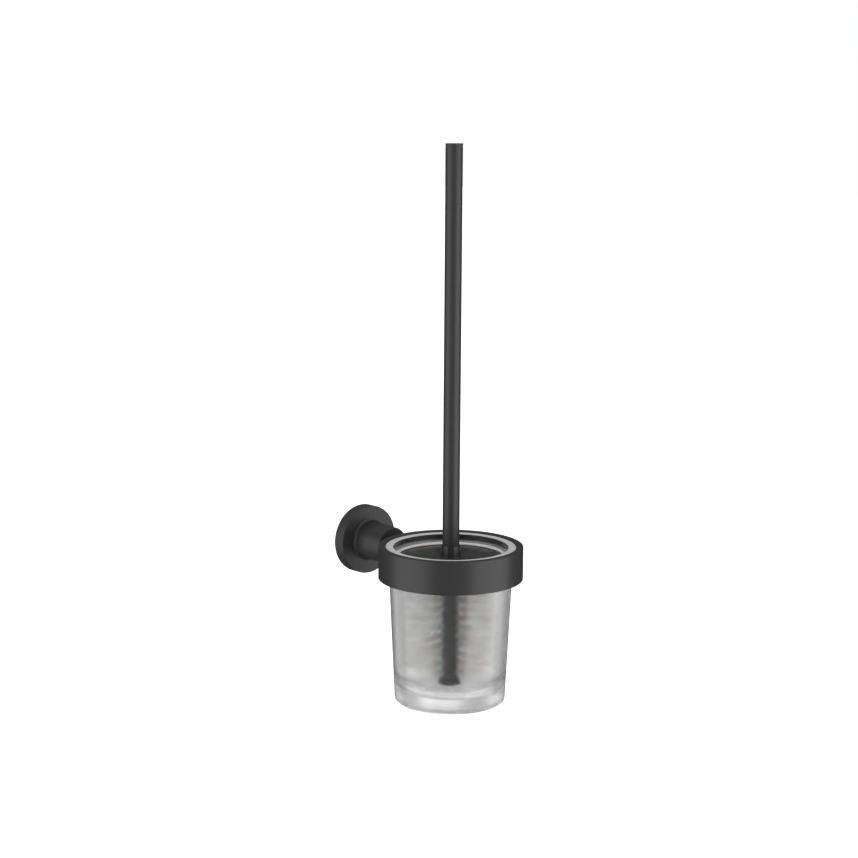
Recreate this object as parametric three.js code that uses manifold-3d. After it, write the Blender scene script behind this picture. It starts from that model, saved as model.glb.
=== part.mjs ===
// A wall-mounted toilet brush holder: a rosette and post carry a ring, a tapered frosted
// glass with a thick base hangs in the ring, and a brush with a lid stands in the glass.
//
// Millimetres, +Z up. The origin is the centre of the bracket's back face, on the wall.
// The wall is the plane y = 0 and the holder reaches out along -Y.
import * as THREE from "three";
import { mergeVertices } from "three/addons/utils/BufferGeometryUtils.js";
import Module from "manifold-3d";

const wasm = await Module();
wasm.setup();

// ---------------------------------------------------------------- driving dimensions

const GAP = 0.3; // clearance between pieces that touch or slide on each other
const ROUND = 48; // sides of a large round piece
const FINE = 24; // sides of a small round piece
const SMALL = 16; // sides of a screw or a pin
const ARC_STEPS = 4; // straight runs along a small fillet
const CHAMFER = 0.3; // on the ends of pins, screws and spacers
const OVERRUN = 5; // how far a cutter runs past the face that it opens

// Ring
const RING_D = 112;
const RING_HEIGHT = 25.5;
const RING_WALL = 5.1;
const RING_EDGE = 0.4; // chamfer on the outer edges
const LEDGE_HEIGHT = 3; // inward lip at the ring's foot, which carries the inlay
const LEDGE_CLEARANCE = 0.5; // lip to glass

// Arm
const ARM_REACH = 108.6; // wall to the ring's axis
const ROSETTE_D = 55.4;
const ROSETTE_DEPTH = 10.1;
const ROSETTE_WALL = 2;
const ROSETTE_EDGE = 0.7;
const POST_LENGTH = 29.5;
const POST_BASE_D = 31.2;
const POST_FRONT_D = 29.4;
const POST_EDGE = 0.8;
const POST_FLARE = 2; // concave fillet at the post's foot
const POST_SOCKET_DEPTH = 14; // how far the bracket's hub reaches into the post
const POST_WEB = 3; // metal between the socket and the bolt's thread
const NECK_D = 18;

// Wall bracket, under the rosette
const BRACKET_D = 46;
const BRACKET_PLATE = 4.5;
const BRACKET_BOSS_D = 26;
const HUB_D = 18;
const HUB_EDGE = 1;
const SLOT_WIDTH = 5; // for the two wall screws
const SLOT_LENGTH = 8;
const SLOT_PITCH = 36;

// Fasteners of the arm
const BOLT_D = 5;
const BOLT_HEAD_D = 9.2;
const BOLT_HEAD_HEIGHT = 2.4;
const BOLT_SINK = 0.5; // head below the ring's bore
const BOLT_THREAD = 9; // thread held in the post
const BOLT_HEAD_LAND = 0.2; // straight rim round the head
const BOLT_KEY = 3; // across flats of the hex socket
const BOLT_KEY_DEPTH = 1.6;
const SET_SCREW_D = 5;
const SET_SCREW_LENGTH = 4.6;
const SET_SCREW_KEY = 2.5;
const PIN_D = 3;
const PIN_OFFSET = 6; // below the arm's axis
const PIN_BITE = 3; // how far the pin enters the ring and the post

// Inlay and glass
const INLAY_WALL = 1.6;
const RIM_DROP = 0.8; // glass rim below the top of the ring
const GLASS_HEIGHT = 121.6;
const GLASS_TAPER = 0.0468; // radius lost per millimetre down
const GLASS_WALL = 4.3;
const GLASS_BASE = 8.6;
const GLASS_FLOOR_FILLET = 17.5;
const FLOOR_STEPS = 8; // straight runs along the floor's fillet
const GLASS_FOOT_FILLET = 2;
const COLLAR_HEIGHT = 6;
const RIM_EDGE = 0.6;

// Lid
const LID_DROP = 8.3; // lid's top face below the glass rim
const LID_SHEET = 1.4;
const SEAL_RISE = 1.9; // seal's crest above the lid
const SEAL_LIP = 0.6; // foot of the seal's bevel above its groove
const SEAL_WIDTH = 3;
const SEAL_DEPTH = 3.6; // seal below the lid's top face
const CONE_RISE = 9.4; // lid's cone above the lid
const CONE_TOP_WALL = 0.25;
const CONE_FOOT_D = 17.8;
const CONE_FILLET = 1.2;
const BUSH_FLANGE_D = 34;
const BUSH_FLANGE = 2.2;
const BUSH_SLEEVE_D = 20;

// Handle
const HANDLE_D = 13.1;
const HANDLE_WALL = 1.3;
const HANDLE_RISE = 306.5; // handle's top above the top of the ring
const HANDLE_BELOW_LID = 7.5; // handle's foot below the lid's top face
const CAP_HEIGHT = 2.2;
const CAP_SPIGOT = 9;
const CAP_EDGE = 0.5;
const INSERT_LENGTH = 18;
const STUD_D = 6;
const STUD_LENGTH = 30;
const STUD_ROOM = 1; // drilled past the stud's end
const WASHER_D = 21;
const WASHER_THICK = 1.4;
const O_RING_SECTION = 1.8;
const O_RING_D = 10.4; // centre line
const O_RING_SIDES = 8; // of its round section

// Brush head
const CORE_D = 13.6;
const TIP_D = 17.4;
const TIP_HEIGHT = 8;
const TIP_ROUND = 3; // round on the foot's edge
const TIP_LIFT = 0.5; // tip above the glass floor
const BRISTLE_D = 75;
const ROWS = 10;
const ROW_GAP = 1.9; // between one row of bristles and the next
const ROW_EDGE = 1;
const ROW_FOOT = 11.5; // lowest row above the tip's end
const ROW_HEAD = 12.5; // highest row below the top of the core
const FOOT_ROW_D = 54; // the lowest row is shorter, so that the head is rounded

// ---------------------------------------------------------------- shared places

const ringR = RING_D / 2;
const boreR = ringR - RING_WALL;
const inlayOuterR = boreR - GAP;
const glassR = inlayOuterR - INLAY_WALL - GAP; // glass cone at the rim's height
const rimZ = -RIM_DROP;
const footZ = rimZ - GLASS_HEIGHT;
const floorZ = footZ + GLASS_BASE;
const glassOuterAt = (z) => glassR + GLASS_TAPER * (z - rimZ);
const glassInnerAt = (z) => glassOuterAt(z) - GLASS_WALL;
const hubR = HUB_D / 2;
const postFront = ROSETTE_DEPTH + POST_LENGTH;
const socketEnd = ROSETTE_DEPTH + POST_SOCKET_DEPTH;
const threadEnd = socketEnd + POST_WEB;
const ringFace = ARM_REACH - ringR; // ring's outer face, along the arm
const boreFace = ARM_REACH - boreR;
const lidZ = rimZ - LID_DROP;
const handleR = HANDLE_D / 2;
const handleFootZ = lidZ - HANDLE_BELOW_LID;
const tubeBoreR = handleR - HANDLE_WALL;
const washerFootZ = handleFootZ - GAP - WASHER_THICK;
const coreTopZ = washerFootZ - GAP;
const tipZ = floorZ + TIP_LIFT;
const coreFootZ = tipZ + TIP_HEIGHT;
const coreR = CORE_D / 2;
const rowsFootZ = tipZ + ROW_FOOT;
const rowsHeight = coreTopZ - ROW_HEAD - rowsFootZ;
const rowThick = (rowsHeight - (ROWS - 1) * ROW_GAP) / ROWS;

// ---------------------------------------------------------------- materials

const finish = (color, roughness, metalness, extra = {}) =>
  new THREE.MeshStandardMaterial({ color, roughness, metalness, ...extra });

const blackPaint = finish(0x333333, 0.45, 0.35);
const steel = finish(0xb5b7b9, 0.35, 1);
const zinc = finish(0x9a9c9e, 0.5, 0.9);
const frostedGlass = finish(0xdfe4e4, 0.45, 0, {
  transparent: true,
  opacity: 0.45,
});
const clearPlastic = finish(0xd6d8d6, 0.5, 0);
const darkPlastic = finish(0x2b2b2c, 0.6, 0);
const paleNylon = finish(0xe6e6e2, 0.6, 0);
const blackRubber = finish(0x1c1c1c, 0.8, 0);

// ---------------------------------------------------------------- shape helpers

// Points of an arc about (cx, cy), from one angle to another in degrees.
function arc(cx, cy, r, from, to, steps = ARC_STEPS) {
  return Array.from({ length: steps + 1 }, (_, i) => {
    const a = THREE.MathUtils.degToRad(from + ((to - from) * i) / steps);
    return [cx + r * Math.cos(a), cy + r * Math.sin(a)];
  });
}

// A solid of revolution about Y from [radius, height] points, listed from the foot up the outside.
function turned(points, sides = ROUND) {
  return new THREE.LatheGeometry(
    points.map(([r, h]) => new THREE.Vector2(r, h)),
    sides,
  );
}

// A turned ring or tube, whose profile closes on itself.
const turnedRing = (points, sides) => turned([...points, points[0]], sides);

// A plain rod about Y with chamfered ends.
function rod(r, foot, top, sides = SMALL) {
  return turned(
    [
      [0, foot],
      [r - CHAMFER, foot],
      [r, foot + CHAMFER],
      [r, top - CHAMFER],
      [r - CHAMFER, top],
      [0, top],
    ],
    sides,
  );
}

// Stands a piece turned about Y up along Z.
const upright = (geometry) => geometry.rotateX(Math.PI / 2);

// A hexagonal prism about Y, for a key socket.
function hexPrism(acrossFlats, foot, top) {
  const r = acrossFlats / Math.sqrt(3);
  return new THREE.CylinderGeometry(r, r, top - foot, 6).translate(0, (top + foot) / 2, 0);
}

function solid(geometry) {
  const bare = geometry.clone();
  bare.deleteAttribute("normal");
  bare.deleteAttribute("uv");
  const merged = mergeVertices(bare, 1e-4);
  return new wasm.Manifold(
    new wasm.Mesh({
      numProp: 3,
      vertProperties: new Float32Array(merged.attributes.position.array),
      triVerts: new Uint32Array(merged.index.array),
    }),
  );
}

function geometryOf(manifold) {
  const mesh = manifold.getMesh();
  const geometry = new THREE.BufferGeometry();
  geometry.setAttribute(
    "position",
    new THREE.BufferAttribute(new Float32Array(mesh.vertProperties), 3),
  );
  geometry.setIndex(new THREE.BufferAttribute(mesh.triVerts, 1));
  return geometry;
}

// A geometry with other geometries cut out of it.
function cut(geometry, ...tools) {
  const rest = tools.reduce((s, t) => s.subtract(solid(t)), solid(geometry));
  return geometryOf(rest);
}

function join(geometry, ...others) {
  const whole = others.reduce((s, o) => s.add(solid(o)), solid(geometry));
  return geometryOf(whole);
}

function piece(name, geometry, material) {
  const mesh = new THREE.Mesh(geometry, material);
  mesh.name = name;
  return mesh;
}

// ---------------------------------------------------------------- arm
// Pieces of the arm are turned about Y, with height as the distance from the wall.

// Die-cast plate that is screwed to the wall. Its boss backs the rosette and its hub carries the post.
function wallBracket() {
  const plateShape = new THREE.Shape();
  plateShape.absarc(0, 0, BRACKET_D / 2, 0, 2 * Math.PI);
  for (const side of [-1, 1]) {
    const slot = new THREE.Path();
    const reach = (SLOT_LENGTH - SLOT_WIDTH) / 2;
    slot.absarc((side * SLOT_PITCH) / 2, reach, SLOT_WIDTH / 2, 0, Math.PI);
    slot.absarc(
      (side * SLOT_PITCH) / 2,
      -reach,
      SLOT_WIDTH / 2,
      Math.PI,
      2 * Math.PI,
    );
    plateShape.holes.push(slot);
  }
  const plate = new THREE.ExtrudeGeometry(plateShape, {
    depth: BRACKET_PLATE,
    bevelEnabled: false,
    curveSegments: FINE,
  }).rotateX(-Math.PI / 2);
  const bossTop = ROSETTE_DEPTH - ROSETTE_WALL - GAP;
  const hubTop = socketEnd - GAP;
  const boss = turned(
    [
      [0, BRACKET_PLATE / 2],
      [BRACKET_BOSS_D / 2, BRACKET_PLATE / 2],
      [BRACKET_BOSS_D / 2, bossTop],
      [hubR, bossTop],
      [hubR, hubTop - HUB_EDGE],
      [hubR - HUB_EDGE, hubTop],
      [0, hubTop],
    ],
    FINE,
  );
  return join(plate, boss);
}

// Cup-shaped cover with a hole for the hub.
function rosette() {
  const r = ROSETTE_D / 2;
  const inside = ROSETTE_DEPTH - ROSETTE_WALL;
  return turnedRing([
    [r - ROSETTE_WALL, 0],
    [r, 0],
    ...arc(r - ROSETTE_EDGE, ROSETTE_DEPTH - ROSETTE_EDGE, ROSETTE_EDGE, 0, 90),
    [hubR + GAP, ROSETTE_DEPTH],
    [hubR + GAP, inside],
    [r - ROSETTE_WALL, inside],
  ]);
}

const setScrewPlace = (ROSETTE_DEPTH + GAP + socketEnd) / 2;

// Tapered sleeve with a socket for the hub, a thread for the ring bolt and holes for pin and set screw.
function post() {
  const foot = ROSETTE_DEPTH + GAP;
  const body = turned(
    [
      [0, foot],
      ...arc(POST_BASE_D / 2 + POST_FLARE, foot + POST_FLARE, POST_FLARE, -90, -180),
      ...arc(POST_FRONT_D / 2 - POST_EDGE, postFront - POST_EDGE, POST_EDGE, 0, 90),
      [0, postFront],
    ],
    ROUND,
  );
  const socket = rod(hubR + GAP, foot - OVERRUN, socketEnd, FINE);
  const thread = rod(BOLT_D / 2 + GAP, threadEnd, postFront + OVERRUN);
  const pinHole = rod(PIN_D / 2 + GAP, postFront - PIN_BITE - GAP, postFront + OVERRUN);
  const screwHole = rod(SET_SCREW_D / 2 + GAP, -POST_BASE_D, -hubR);
  return cut(
    body,
    socket,
    thread,
    pinHole.translate(0, 0, -PIN_OFFSET),
    upright(screwHole).translate(0, setScrewPlace, 0),
  );
}

// Headless screw in the post's underside, with its hex socket facing down.
function postSetScrew() {
  const tip = -(hubR + GAP);
  const end = tip - SET_SCREW_LENGTH;
  const screw = cut(
    rod(SET_SCREW_D / 2, end, tip),
    hexPrism(SET_SCREW_KEY, end - OVERRUN, end + SET_SCREW_LENGTH / 2),
  );
  return upright(screw).translate(0, setScrewPlace, 0);
}

// An upright cylinder on the ring's axis, seen from the arm, for saddles and ring cuts.
const ringCylinder = (r) =>
  upright(rod(r, -RING_HEIGHT, RING_HEIGHT, ROUND)).translate(0, ARM_REACH, 0);

// Spacer between post and ring, hollowed at its end to sit on the ring.
function ringNeck() {
  const boltHole = rod(BOLT_D / 2 + GAP, postFront - OVERRUN, ARM_REACH);
  const pinHole = rod(PIN_D / 2 + GAP, postFront - OVERRUN, ARM_REACH);
  return cut(
    rod(NECK_D / 2, postFront + GAP, ringFace + RING_WALL / 2, FINE),
    ringCylinder(ringR + GAP),
    boltHole,
    pinHole.translate(0, 0, -PIN_OFFSET),
  );
}

const boltHeadTop = boreFace - BOLT_SINK;

// The bolt's shape, grown by a clearance for its countersunk hole in the ring.
function boltBody(grow, top) {
  const headFoot = boltHeadTop - BOLT_HEAD_HEIGHT;
  const r = BOLT_D / 2 + grow;
  return turned(
    [
      [0, postFront - BOLT_THREAD - grow],
      [r - CHAMFER, postFront - BOLT_THREAD - grow],
      [r, postFront - BOLT_THREAD + CHAMFER],
      [r, headFoot - grow],
      [BOLT_HEAD_D / 2 + grow, boltHeadTop - grow],
      [BOLT_HEAD_D / 2 + grow, top],
      [0, top],
    ],
    SMALL,
  );
}

// Countersunk bolt from inside the ring, through the neck, into the post.
function ringBolt() {
  return cut(
    boltBody(0, boltHeadTop + BOLT_HEAD_LAND),
    hexPrism(BOLT_KEY, boltHeadTop - BOLT_KEY_DEPTH, boltHeadTop + OVERRUN),
  );
}

// Dowel that keeps the ring level.
function antiRotationPin() {
  const ringDip = ringR - Math.sqrt(ringR ** 2 - (PIN_D / 2) ** 2);
  const pin = rod(PIN_D / 2, postFront - PIN_BITE, ringFace + ringDip + PIN_BITE - GAP);
  return pin.translate(0, 0, -PIN_OFFSET);
}

// ---------------------------------------------------------------- ring and glass
// Pieces on the ring's axis are turned about Y with height 0 at the top of the ring, then stood up.

const ledgeTopZ = -RING_HEIGHT + LEDGE_HEIGHT;
const ledgeR = glassOuterAt(-RING_HEIGHT) + LEDGE_CLEARANCE;

// Heavy turned ring with an inward lip at its foot.
function holderRing() {
  const body = upright(
    turnedRing(
      [
        [ledgeR, -RING_HEIGHT],
        [ringR - RING_EDGE, -RING_HEIGHT],
        [ringR, -RING_HEIGHT + RING_EDGE],
        [ringR, -RING_EDGE],
        [ringR - RING_EDGE, 0],
        [boreR, 0],
        [boreR, ledgeTopZ],
        [ledgeR, ledgeTopZ],
      ],
      ROUND,
    ),
  );
  // The arm's frame is turned half round Z against the ring's, with its height along +Y.
  const fromArm = (tool) =>
    tool.rotateZ(Math.PI).translate(0, ARM_REACH, -RING_HEIGHT / 2);
  const pinHole = rod(PIN_D / 2 + GAP, ringFace - OVERRUN, ringFace + PIN_BITE + GAP);
  return cut(
    body,
    fromArm(boltBody(GAP, boreFace + OVERRUN)),
    fromArm(pinHole.translate(0, 0, -PIN_OFFSET)),
  );
}

// Plastic liner between ring and glass, standing on the ring's lip under the glass collar.
function ringInlay() {
  const foot = ledgeTopZ + GAP;
  const top = rimZ - COLLAR_HEIGHT - GAP;
  return upright(
    turnedRing([
      [glassOuterAt(foot) + GAP, foot],
      [inlayOuterR, foot],
      [inlayOuterR, top],
      [glassOuterAt(top) + GAP, top],
    ]),
  );
}

// Tapered tumbler with a collar, a thick base and a rounded floor.
function glassTumbler() {
  const collarR = boreR - GAP;
  const collarFoot = rimZ - COLLAR_HEIGHT;
  const footR = glassOuterAt(footZ);
  const floorR = glassInnerAt(floorZ);
  const rimInnerR = glassInnerAt(rimZ);
  return upright(
    turned([
      [0, footZ],
      ...arc(footR - GLASS_FOOT_FILLET, footZ + GLASS_FOOT_FILLET, GLASS_FOOT_FILLET, -90, 0),
      [glassOuterAt(collarFoot), collarFoot],
      [collarR, collarFoot],
      [collarR, rimZ - RIM_EDGE],
      [collarR - RIM_EDGE, rimZ],
      [rimInnerR + RIM_EDGE, rimZ],
      [rimInnerR, rimZ - RIM_EDGE],
      ...arc(
        floorR - GLASS_FLOOR_FILLET,
        floorZ + GLASS_FLOOR_FILLET,
        GLASS_FLOOR_FILLET,
        0,
        -90,
        FLOOR_STEPS,
      ),
      [0, floorZ],
    ]),
  );
}

// ---------------------------------------------------------------- lid

const sealOuterR = glassInnerAt(lidZ - SEAL_DEPTH) - GAP;
const sealInnerR = sealOuterR - SEAL_WIDTH;
const sheetR = sealOuterR - SEAL_WIDTH / 2; // lid's edge, held in the seal's groove
const lidUnderZ = lidZ - LID_SHEET;
const slideR = handleR + GAP; // bore of what slides on the handle

// Flat lid that rises into a slim cone round the handle, with a small fillet at the cone's foot.
function lidShell() {
  const footR = CONE_FOOT_D / 2;
  const topR = slideR + CONE_TOP_WALL;
  const slope = THREE.MathUtils.radToDeg(Math.atan((footR - topR) / CONE_RISE));
  return upright(
    turnedRing([
      [slideR, lidUnderZ],
      [sheetR, lidUnderZ],
      [sheetR, lidZ],
      ...arc(footR + CONE_FILLET, lidZ + CONE_FILLET, CONE_FILLET, -90, -180 + slope),
      [topR, lidZ + CONE_RISE],
      [slideR, lidZ + CONE_RISE],
    ]),
  );
}

// Pale soft ring on the lid's edge, with a bevelled crest and a groove for the sheet.
function lidSeal() {
  const grooveTop = lidZ + GAP;
  const grooveFoot = lidUnderZ - GAP;
  const crest = lidZ + SEAL_RISE;
  return upright(
    turnedRing([
      [sealInnerR, lidZ - SEAL_DEPTH],
      [sealOuterR, lidZ - SEAL_DEPTH],
      [sealOuterR, crest],
      [sealOuterR - SEAL_WIDTH / 3, crest],
      [sealInnerR, grooveTop + SEAL_LIP],
      [sealInnerR, grooveTop],
      [sheetR + GAP, grooveTop],
      [sheetR + GAP, grooveFoot],
      [sealInnerR, grooveFoot],
    ]),
  );
}

// Nylon bush that slides on the handle and carries the lid on its flange. Its sleeve rests on the washer.
function lidBush() {
  const top = lidUnderZ - GAP;
  return upright(
    turnedRing(
      [
        [slideR, handleFootZ],
        [BUSH_SLEEVE_D / 2, handleFootZ],
        [BUSH_SLEEVE_D / 2, top - BUSH_FLANGE],
        [BUSH_FLANGE_D / 2, top - BUSH_FLANGE],
        [BUSH_FLANGE_D / 2, top],
        [slideR, top],
      ],
      FINE,
    ),
  );
}

// ---------------------------------------------------------------- handle

const handleTopZ = HANDLE_RISE;
const tubeTopZ = handleTopZ - CAP_HEIGHT;

function handleTube() {
  return upright(
    turnedRing(
      [
        [tubeBoreR, handleFootZ],
        [handleR, handleFootZ],
        [handleR, tubeTopZ],
        [tubeBoreR, tubeTopZ],
      ],
      FINE,
    ),
  );
}

// Flat plug that closes the tube's top, on a spigot inside it.
function handleTopCap() {
  return upright(
    turned(
      [
        [0, tubeTopZ - CAP_SPIGOT],
        [tubeBoreR - GAP, tubeTopZ - CAP_SPIGOT],
        [tubeBoreR - GAP, tubeTopZ + GAP],
        [handleR, tubeTopZ + GAP],
        [handleR, handleTopZ - CAP_EDGE],
        [handleR - CAP_EDGE, handleTopZ],
        [0, handleTopZ],
      ],
      FINE,
    ),
  );
}

const studTopZ = handleFootZ + STUD_LENGTH / 2;
const studFootZ = studTopZ - STUD_LENGTH;

// Threaded insert pressed into the tube's foot, drilled right through.
function handleInsert() {
  return upright(
    turnedRing(
      [
        [STUD_D / 2 + GAP, handleFootZ],
        [tubeBoreR - GAP, handleFootZ],
        [tubeBoreR - GAP, handleFootZ + INSERT_LENGTH],
        [STUD_D / 2 + GAP, handleFootZ + INSERT_LENGTH],
      ],
      SMALL,
    ),
  );
}

// Double-ended stud that joins the brush head to the handle.
const headStud = () => upright(rod(STUD_D / 2, studFootZ, studTopZ));

// Washer clamped between handle and head, which stops the lid's bush at the handle's foot.
function lidWasher() {
  return upright(
    turnedRing(
      [
        [STUD_D / 2 + GAP, washerFootZ],
        [WASHER_D / 2, washerFootZ],
        [WASHER_D / 2, washerFootZ + WASHER_THICK],
        [STUD_D / 2 + GAP, washerFootZ + WASHER_THICK],
      ],
      FINE,
    ),
  );
}

const oRingZ = coreTopZ - O_RING_SECTION / 2;

// Seals the stud's thread, in a groove in the top of the core.
function headORing() {
  const lastCorner = 270 - 360 / O_RING_SIDES;
  const section = arc(O_RING_D / 2, oRingZ, O_RING_SECTION / 2, -90, lastCorner, O_RING_SIDES - 1);
  return upright(turnedRing(section, SMALL));
}

// Core of the brush head, with the stud's hole and the O-ring's groove in its top.
function brushCore() {
  const grooveFoot = coreTopZ - O_RING_SECTION - GAP;
  const grooveR = O_RING_D / 2 + O_RING_SECTION / 2 + GAP;
  return upright(
    turned(
      [
        [0, coreFootZ + GAP],
        [coreR, coreFootZ + GAP],
        [coreR, coreTopZ],
        [grooveR, coreTopZ],
        [grooveR, grooveFoot],
        [STUD_D / 2 + GAP, grooveFoot],
        [STUD_D / 2 + GAP, studFootZ - STUD_ROOM],
        [0, studFootZ - STUD_ROOM],
      ],
      FINE,
    ),
  );
}

// Rounded knob on the core's foot, which stands on the glass floor.
function coreTip() {
  const r = TIP_D / 2;
  return upright(
    turned(
      [
        [0, tipZ],
        ...arc(r - TIP_ROUND, tipZ + TIP_ROUND, TIP_ROUND, -90, 0),
        [r, coreFootZ - TIP_ROUND / 2],
        [r - TIP_ROUND / 2, coreFootZ],
        [0, coreFootZ],
      ],
      FINE,
    ),
  );
}

// One row of bristle tufts, as the plain disc that they fill.
function bristleRow(row) {
  const foot = rowsFootZ + row * (rowThick + ROW_GAP);
  const top = foot + rowThick;
  const r = (row === 0 ? FOOT_ROW_D : BRISTLE_D) / 2;
  return upright(
    turnedRing(
      [
        [coreR + GAP, foot],
        [r - ROW_EDGE, foot],
        [r, foot + ROW_EDGE],
        [r, top - ROW_EDGE],
        [r - ROW_EDGE, top],
        [coreR + GAP, top],
      ],
      FINE,
    ),
  );
}

// ---------------------------------------------------------------- assembly

const arm = new THREE.Group();
arm.rotation.z = Math.PI; // turns the arm's height, +Y, out from the wall, -Y
arm.add(
  piece("wall_bracket", wallBracket(), zinc),
  piece("rosette", rosette(), blackPaint),
  piece("post", post(), blackPaint),
  piece("post_set_screw", postSetScrew(), steel),
  piece("ring_neck", ringNeck(), blackPaint),
  piece("ring_bolt", ringBolt(), steel),
  piece("anti_rotation_pin", antiRotationPin(), steel),
);

const onRingAxis = new THREE.Group();
onRingAxis.position.set(0, -ARM_REACH, RING_HEIGHT / 2);
onRingAxis.add(
  piece("holder_ring", holderRing(), blackPaint),
  piece("ring_inlay", ringInlay(), clearPlastic),
  piece("glass_tumbler", glassTumbler(), frostedGlass),
  piece("lid_shell", lidShell(), blackPaint),
  piece("lid_seal", lidSeal(), clearPlastic),
  piece("lid_bush", lidBush(), paleNylon),
  piece("handle_tube", handleTube(), blackPaint),
  piece("handle_top_cap", handleTopCap(), blackPaint),
  piece("handle_insert", handleInsert(), steel),
  piece("head_stud", headStud(), steel),
  piece("lid_washer", lidWasher(), steel),
  piece("head_o_ring", headORing(), blackRubber),
  piece("brush_core", brushCore(), darkPlastic),
  piece("core_tip", coreTip(), darkPlastic),
);
for (let row = 0; row < ROWS; row++) {
  onRingAxis.add(piece(`bristle_row_${row + 1}`, bristleRow(row), paleNylon));
}

const holder = new THREE.Group();
holder.add(arm, onRingAxis);
export default holder;
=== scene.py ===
import math
import random

import bmesh
import bpy
from mathutils import Matrix, Vector


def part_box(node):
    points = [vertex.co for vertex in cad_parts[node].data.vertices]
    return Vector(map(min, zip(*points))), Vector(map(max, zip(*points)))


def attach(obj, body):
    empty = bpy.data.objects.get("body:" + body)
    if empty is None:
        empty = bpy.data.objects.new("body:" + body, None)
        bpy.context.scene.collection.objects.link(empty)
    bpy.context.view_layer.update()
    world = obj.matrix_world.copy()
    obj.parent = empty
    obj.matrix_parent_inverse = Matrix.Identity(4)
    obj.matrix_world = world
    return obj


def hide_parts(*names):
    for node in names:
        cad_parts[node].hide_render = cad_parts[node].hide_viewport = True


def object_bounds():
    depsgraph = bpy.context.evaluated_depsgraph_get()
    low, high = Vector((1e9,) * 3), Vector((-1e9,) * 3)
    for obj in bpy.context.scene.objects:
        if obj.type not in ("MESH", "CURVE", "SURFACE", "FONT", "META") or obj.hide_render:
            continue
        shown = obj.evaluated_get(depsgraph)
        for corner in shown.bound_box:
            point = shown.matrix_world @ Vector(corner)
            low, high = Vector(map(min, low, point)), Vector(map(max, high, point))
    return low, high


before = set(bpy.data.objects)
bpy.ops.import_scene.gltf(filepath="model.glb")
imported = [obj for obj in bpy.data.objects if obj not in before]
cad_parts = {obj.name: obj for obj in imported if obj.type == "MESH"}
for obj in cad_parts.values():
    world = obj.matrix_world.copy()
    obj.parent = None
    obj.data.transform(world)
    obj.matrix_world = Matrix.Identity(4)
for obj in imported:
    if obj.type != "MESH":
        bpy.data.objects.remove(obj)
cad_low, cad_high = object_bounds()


# ------------------------------------------------------------------ wall bracket
# A die-cast zinc plate that is screwed to the wall through two slots. A boss backs the
# rosette and a hub reaches into the post. It is left bare, because the rosette hides it.

mm = 0.001
crease = math.radians(32)  # faces that meet more steeply than this keep a sharp edge


def rounded(corners, steps=5):
    """The outline through (radius, height, rounding) corners, with an arc at each rounded corner."""
    points = []
    for i, (radius, height, rounding) in enumerate(corners):
        corner = Vector((radius, height))
        if not rounding:
            points.append(corner)
            continue
        before = (Vector(corners[i - 1][:2]) - corner).normalized()
        after = (Vector(corners[(i + 1) % len(corners)][:2]) - corner).normalized()
        half = before.angle(after) / 2
        centre = corner + (before + after).normalized() * rounding / math.sin(half)
        start = corner + before * rounding / math.tan(half) - centre
        end = corner + after * rounding / math.tan(half) - centre
        sweep = math.atan2(start.cross(end), start.dot(end))
        points += [centre + Matrix.Rotation(sweep * k / steps, 2) @ start for k in range(steps + 1)]
    return points


def add_object(name, shape):
    """Puts a bmesh in the scene as a smooth-shaded object with sharp edges where faces meet steeply."""
    bmesh.ops.remove_doubles(shape, verts=shape.verts, dist=1e-7)
    bmesh.ops.recalc_face_normals(shape, faces=shape.faces)
    mesh = bpy.data.meshes.new(name)
    shape.to_mesh(mesh)
    shape.free()
    mesh.shade_smooth()
    mesh.set_sharp_from_angle(angle=crease)
    made = bpy.data.objects.new(name, mesh)
    bpy.context.scene.collection.objects.link(made)
    return made


def turn(shape, outline, sides, place):
    """Turns (radius, height) points about Z into bmesh faces, and moves them with the matrix."""
    loops = []
    for radius, height in outline:
        angles = [2 * math.pi * i / sides for i in range(sides)] if radius > 1e-6 else [0]
        points = [Vector((radius * math.cos(a), radius * math.sin(a), height)) for a in angles]
        loops.append([shape.verts.new(place @ point) for point in points])
    if len(loops[0]) > 1 and len(loops[-1]) > 1:
        loops.append(loops[0])
    for low, high in zip(loops, loops[1:]):
        for i in range(sides):
            j = (i + 1) % sides
            corners = [low[i % len(low)], low[j % len(low)], high[j % len(high)], high[i % len(high)]]
            shape.faces.new(list(dict.fromkeys(corners)))


def turned(name, outline, place, sides=128):
    """An object turned from an outline of (radius, height) points, and moved with the matrix."""
    shape = bmesh.new()
    turn(shape, outline, sides, place)
    return add_object(name, shape)


def cut(target, *tools):
    """Cuts the tools out of the target, and removes them."""
    for tool in tools:
        step = target.modifiers.new("cut", "BOOLEAN")
        step.operation = "DIFFERENCE"
        step.object = tool
        step.solver = "EXACT"
    evaluated = target.evaluated_get(bpy.context.evaluated_depsgraph_get())
    mesh = bpy.data.meshes.new_from_object(evaluated)
    target.modifiers.clear()
    target.data = mesh
    mesh.shade_smooth()
    mesh.set_sharp_from_angle(angle=crease)
    for tool in tools:
        bpy.data.objects.remove(tool)


def fit(piece, body, slot, *nodes, material):
    """Gives a piece its material, shades its broad faces flat up to their rounded edges, hangs it
    on its body's empty, and hides the CAD parts that it stands for."""
    piece.data.materials.clear()
    piece.data.materials.append(material)
    weights = piece.modifiers.new("evened normals", "WEIGHTED_NORMAL")
    weights.keep_sharp = True
    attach(piece, body)
    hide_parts(*nodes)


def add(tree, kind, inputs=None, **settings):
    """Adds a shader node. Inputs are plain values, or sockets to link."""
    made = tree.nodes.new("ShaderNode" + kind)
    for key, value in settings.items():
        setattr(made, key, value)
    for key, value in (inputs or {}).items():
        if isinstance(value, bpy.types.NodeSocket):
            tree.links.new(value, made.inputs[key])
        else:
            made.inputs[key].default_value = value
    return made


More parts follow.
